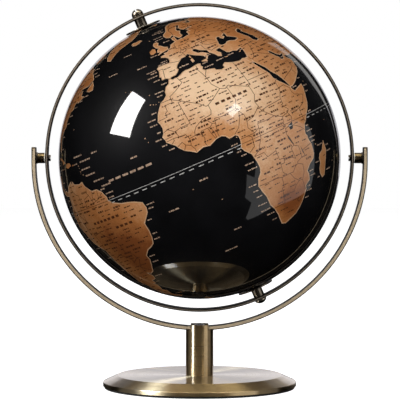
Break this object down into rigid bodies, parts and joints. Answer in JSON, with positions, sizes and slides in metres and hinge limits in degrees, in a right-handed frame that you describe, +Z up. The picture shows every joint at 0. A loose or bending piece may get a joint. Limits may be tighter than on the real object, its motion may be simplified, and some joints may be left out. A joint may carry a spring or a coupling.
{
  "type": "desktop globe",
  "caption": "Terrestrial desk globe that spins on its poles inside a tipping meridian ring, carried by a C-shaped arm, a short column and a weighted round base.",
  "frame": {"origin": "centre of the foot pad's underside, on the surface that the globe stands on", "axes": "+Z up along the column; +X along the ring's pivot axis, to the right of a viewer in front; -Y towards that viewer"},
  "size_m": [0.2376, 0.2, 0.2725],
  "materials": {
    "brushed_brass": "steel with brushed antique brass plating, clear lacquered",
    "ring_bronze": "steel strip with dark antique bronze plating, edges polished lighter",
    "axle_bronze": "turned steel with dark antique bronze plating",
    "dark_screws": "blackened steel, semi-gloss",
    "zinc_steel": "zinc-plated steel",
    "ballast_iron": "as cast",
    "pad_rubber": "matt black foamed rubber",
    "nylon": "natural nylon",
    "globe_print": "printed map under high-gloss lacquer: black seas, copper land",
    "inner_plastic": "black moulded plastic"
  },
  "bodies": {
    "stand": {"base_cover": "brushed_brass", "base_ballast": "ballast_iron", "foot_pad": "pad_rubber", "base_bolt": "zinc_steel", "base_washer": "zinc_steel", "column": "brushed_brass", "column_foot_plug": "zinc_steel", "column_head_plug": "zinc_steel", "arm": "brushed_brass", "arm_screw": "dark_screws", "left_pivot_screw": "dark_screws", "right_pivot_screw": "dark_screws", "left_pivot_spacer": "brushed_brass", "right_pivot_spacer": "brushed_brass", "left_pivot_nut": "dark_screws", "right_pivot_nut": "dark_screws", "left_pivot_washer": "nylon", "right_pivot_washer": "nylon"},
    "meridian": {"meridian_ring": "ring_bronze", "north_axle_screw": "axle_bronze", "south_axle_screw": "axle_bronze", "north_axle_sleeve": "axle_bronze", "south_axle_sleeve": "axle_bronze", "north_thrust_washer": "nylon", "south_thrust_washer": "nylon"},
    "globe": {"north_hemisphere": "globe_print", "south_hemisphere": "globe_print", "equator_joint_ring": "inner_plastic", "north_pole_plate": "axle_bronze", "south_pole_plate": "axle_bronze", "north_pole_bush": "nylon", "south_pole_bush": "nylon"}
  },
  "joints": [
    {"name": "ring_tilt", "type": "hinge", "parent": "stand", "child": "meridian", "pos_m": [0, 0, 0.163], "axis": [1, 0, 0], "continuous": true},
    {"name": "globe_spin", "type": "hinge", "parent": "meridian", "child": "globe", "pos_m": [0, 0, 0.163], "axis": [-0.3971, -0.04, 0.9169], "continuous": true}
  ]
}
